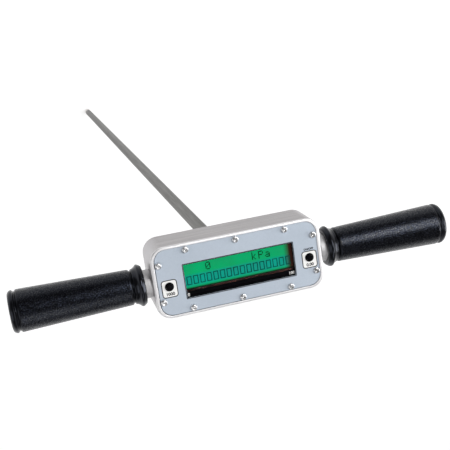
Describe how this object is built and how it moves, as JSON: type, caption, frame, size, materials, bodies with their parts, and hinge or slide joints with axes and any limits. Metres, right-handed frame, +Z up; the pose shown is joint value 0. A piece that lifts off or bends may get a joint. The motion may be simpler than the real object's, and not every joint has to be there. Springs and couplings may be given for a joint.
{
  "type": "soil penetrometer",
  "caption": "Hand soil penetrometer: T-handle with a milled display housing on a long double rod, whose inner rod carries the cone tip and presses on a load cell.",
  "frame": {"origin": "point of the cone tip, at the bottom middle of the box", "axes": "+Z up along the rod, the way the display faces; X along the handle, to the right when the display is read; +Y towards the top edge of the display"},
  "size_m": [0.3944, 0.065, 1.4335],
  "materials": {
    "tip_steel": "bright turned",
    "rod_steel": "ground, dull",
    "nylon": "natural",
    "bare_aluminium": "turned",
    "housing_aluminium": "satin",
    "plate_paint": "fine satin",
    "gasket_rubber": "matte",
    "screw_steel": "bright plated",
    "clear_pane": "clear, smooth",
    "black_metal": "satin black",
    "lcd_green": "lit, smooth",
    "backlight_plastic": "milky",
    "board_green": "lacquered",
    "post_brass": "turned",
    "black_plastic": "semi-gloss",
    "cell_steel": "machined",
    "grey_lead": "soft sheath",
    "holder_plastic": "moulded",
    "battery_skin": "shrink sleeve",
    "red_lead": "soft sheath",
    "grip_rubber": "moulded leather grain, satin"
  },
  "bodies": {
    "frame": {"lower_tube": "rod_steel", "tube_coupling": "rod_steel", "upper_tube": "rod_steel", "guide_bushes": "nylon", "rod_socket": "bare_aluminium", "housing": "housing_aluminium", "front_plate": "plate_paint", "plate_gasket": "gasket_rubber", "cover_screws": "screw_steel", "display_window": "clear_pane", "lcd_frame": "black_metal", "lcd_glass": "lcd_green", "lcd_backlight": "backlight_plastic", "lcd_board": "board_green", "display_post_set": "post_brass", "display_screws": "screw_steel", "switch_bodies": "black_plastic", "switch_nuts": "screw_steel", "load_cell": "cell_steel", "load_cell_screws": "screw_steel", "load_cell_lead": "grey_lead", "main_board": "board_green", "board_posts": "post_brass", "board_screws": "screw_steel", "display_ribbon": "grey_lead", "battery_holder": "holder_plastic", "battery_pack": "battery_skin", "battery_lead": "red_lead", "handle_studs": "screw_steel", "left_handle_bar": "bare_aluminium", "right_handle_bar": "bare_aluminium", "left_grip": "grip_rubber", "right_grip": "grip_rubber"},
    "probe": {"cone_tip": "tip_steel", "tip_collar": "tip_steel", "lower_push_rod": "rod_steel", "upper_push_rod": "rod_steel", "thrust_cap": "tip_steel"},
    "left_key": {"left_button": "black_plastic"},
    "right_key": {"right_button": "black_plastic"}
  },
  "joints": [
    {"name": "probe_slide", "type": "slide", "parent": "frame", "child": "probe", "axis": [0, 0, 1], "range_m": [0, 0.001]},
    {"name": "left_button_press", "type": "slide", "parent": "frame", "child": "left_key", "axis": [0, 0, -1], "range_m": [0, 0.0008], "stiffness_N_per_m": 1500},
    {"name": "right_button_press", "type": "slide", "parent": "frame", "child": "right_key", "axis": [0, 0, -1], "range_m": [0, 0.0008], "stiffness_N_per_m": 1500}
  ]
}
